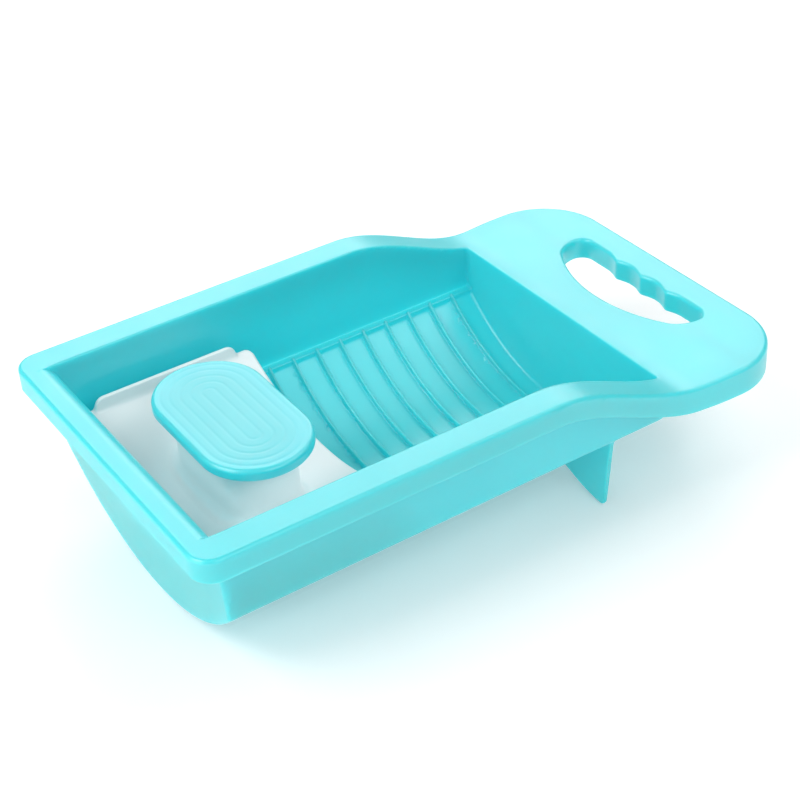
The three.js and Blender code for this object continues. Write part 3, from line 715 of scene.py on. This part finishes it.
def floor_paper():
    n = Nodes("floor_paper")
    tone = n.spread(n.noise(scale=6), 0, 1)
    n.link(n.blend(tone, FLOOR_DEEP, FLOOR_LIGHT), n.shader.inputs["Base Color"])
    n.set(Roughness=0.9, Specular_IOR_Level=0.1)
    n.set(Emission_Color=(1, 1, 1, 1), Emission_Strength=FLOOR_GLOW)
    return n.material


# ---------------------------------------------------------------- pieces

TRAY_VOXEL = 0.7
BRUSH_VOXEL = 0.5

aqua = moulded_plastic(
    "aqua_plastic", AQUA_DEEP, AQUA_LIGHT, AQUA_ROUGHNESS, 1.0, AQUA_GLOW, AQUA_GLOW_DEPTH)
white = moulded_plastic(
    "white_plastic", WHITE_DEEP, WHITE_LIGHT, WHITE_ROUGHNESS, 0.1, WHITE_GLOW, WHITE_GLOW_DEPTH)
nylon = bristle_nylon()
steel = zinc_steel()

TRAY_ROOM = ((-13, -94, -91), (305, 94, 3))
BASE_ROOM = ((-49, -71, -56), (49, 71, -11))
CAP_ROOM = ((-28, -48, -40), (28, 48, -4))
SCREW_ROOM = ((-4, -4, -3), (4, 4, 21))
SCREW_VOXEL = 0.2
TRAY_ADAPTIVITY = 0.02

tray = moulded("washboard", washboard_field, *TRAY_ROOM, TRAY_VOXEL, TRAY_TO_ROW, TRAY_ADAPTIVITY)
standing_for(tray, "washboard", "aqua_plastic", "washboard_tray")
tray.data.materials.append(aqua)

base = moulded("scrub_brush_base", brush_base_field, *BASE_ROOM, BRUSH_VOXEL, BRUSH_TO_ROW)
standing_for(base, "brush", "white_plastic", "brush_base")
base.data.materials.append(white)

cap = moulded("finger_plate", grip_cap_field, *CAP_ROOM, BRUSH_VOXEL, BRUSH_TO_ROW)
standing_for(cap, "brush", "aqua_plastic", "grip_cap")
cap.data.materials.append(aqua)

for side, label in ((-1, "near"), (1, "far")):
    seat = BRUSH_TO_ROW @ Matrix.Translation((0, side * SCREW_Y, SCREW_SEAT_Z))
    screw = moulded("screw_" + label, screw_field, *SCREW_ROOM, SCREW_VOXEL, seat)
    standing_for(screw, "brush", "screw_steel", "fixing_screw_" + label)
    screw.data.materials.append(steel)

rng = np.random.default_rng(7)
for row in range(TUFT_ROWS):
    for column in range(TUFT_COLUMNS):
        angle = (row - (TUFT_ROWS - 1) / 2) * TUFT_ANGLE
        column_x = (column - (TUFT_COLUMNS - 1) / 2) * TUFT_PITCH
        label = "%d_%d" % (row + 1, column + 1)
        tuft = bristle_tuft("tuft_" + label, rng, angle, column_x)
        standing_for(tuft, "brush", "bristle_nylon", "bristle_tuft_" + label)
        tuft.data.materials.append(nylon)

# ---------------------------------------------------------------- floor, light, camera

FLOOR_HALF_WIDTH = 6.0
WORLD_LIGHT = 0.32
SOFTBOXES = (
    ("end", -85, 15, 1.8, (1.2, 0.8), 9),
    ("back", 148.5, 34, 2.0, (1.6, 1.1), 14),
    ("front", 0, 42, 2.0, (1.2, 1.0), 9),
    ("handle side", 88, 60, 1.6, (1.0, 0.9), 3),
    ("edge light", 58, 54, 1.6, (0.9, 0.25), 2),
    ("key", -100, 48, 1.8, (1.0, 0.8), 13),
)
CAMERA_AZIMUTH = math.radians(-31.47)
CAMERA_ELEVATION = math.radians(35.16)
CAMERA_ROLL = math.radians(-3.80)
CAMERA_TARGET = Vector((111.75, -44.55, 0))
CAMERA_DISTANCE = 760.35
CAMERA_LENS = 79.44
SENSOR_WIDTH = 36


def studio_floor():
    mesh = bpy.data.meshes.new("floor")
    z = CAD_BOX[0].z
    signs = ((-1, -1), (1, -1), (1, 1), (-1, 1))
    corners = [(a * FLOOR_HALF_WIDTH, b * FLOOR_HALF_WIDTH, z) for a, b in signs]
    mesh.from_pydata(corners, [], [(0, 1, 2, 3)])
    floor = bpy.data.objects.new("floor", mesh)
    bpy.context.scene.collection.objects.link(floor)
    mesh.materials.append(floor_paper())


def softbox(name, azimuth, elevation, distance, size, power):
    """A lamp that faces the frame's origin; azimuth 0 is -Y and 90 is +X, lengths in metres."""
    light = bpy.data.lights.new(name, "AREA")
    light.shape = "RECTANGLE"
    light.size, light.size_y = size
    light.energy = power
    lamp = bpy.data.objects.new(name, light)
    a, e = math.radians(azimuth), math.radians(elevation)
    away = Vector((math.sin(a) * math.cos(e), -math.cos(a) * math.cos(e), math.sin(e)))
    lamp.location = away * distance
    lamp.rotation_euler = away.to_track_quat("Z", "Y").to_euler()
    bpy.context.scene.collection.objects.link(lamp)


def studio_world(strength):
    world = bpy.data.worlds.new("studio")
    bpy.context.scene.world = world
    world.use_nodes = True
    backdrop = world.node_tree.nodes["Background"]
    backdrop.inputs["Color"].default_value = (1, 1, 1, 1)
    backdrop.inputs["Strength"].default_value = strength


def photo_camera():
    level = math.cos(CAMERA_ELEVATION)
    back_x = math.sin(CAMERA_AZIMUTH) * level
    back_y = -math.cos(CAMERA_AZIMUTH) * level
    back = Vector((back_x, back_y, math.sin(CAMERA_ELEVATION)))
    right = (-back).cross(Vector((0, 0, 1))).normalized()
    up = right.cross(-back)
    rolled_right = right * math.cos(CAMERA_ROLL) + up * math.sin(CAMERA_ROLL)
    rolled_up = up * math.cos(CAMERA_ROLL) - right * math.sin(CAMERA_ROLL)
    turn = TURN.to_3x3()
    axes = Matrix((turn @ rolled_right, turn @ rolled_up, turn @ back)).transposed()
    lens = bpy.data.cameras.new("camera")
    lens.lens = CAMERA_LENS
    lens.sensor_width = SENSOR_WIDTH
    camera = bpy.data.objects.new("camera", lens)
    eye = TRAY_TO_ROW @ (CAMERA_TARGET + back * CAMERA_DISTANCE)
    camera.matrix_world = Matrix.Translation(eye) @ axes.to_4x4()
    bpy.context.scene.collection.objects.link(camera)
    bpy.context.scene.camera = camera


studio_floor()
studio_world(WORLD_LIGHT)
for box in SOFTBOXES:
    softbox(*box)
photo_camera()
bpy.context.scene.view_settings.view_transform = "Standard"
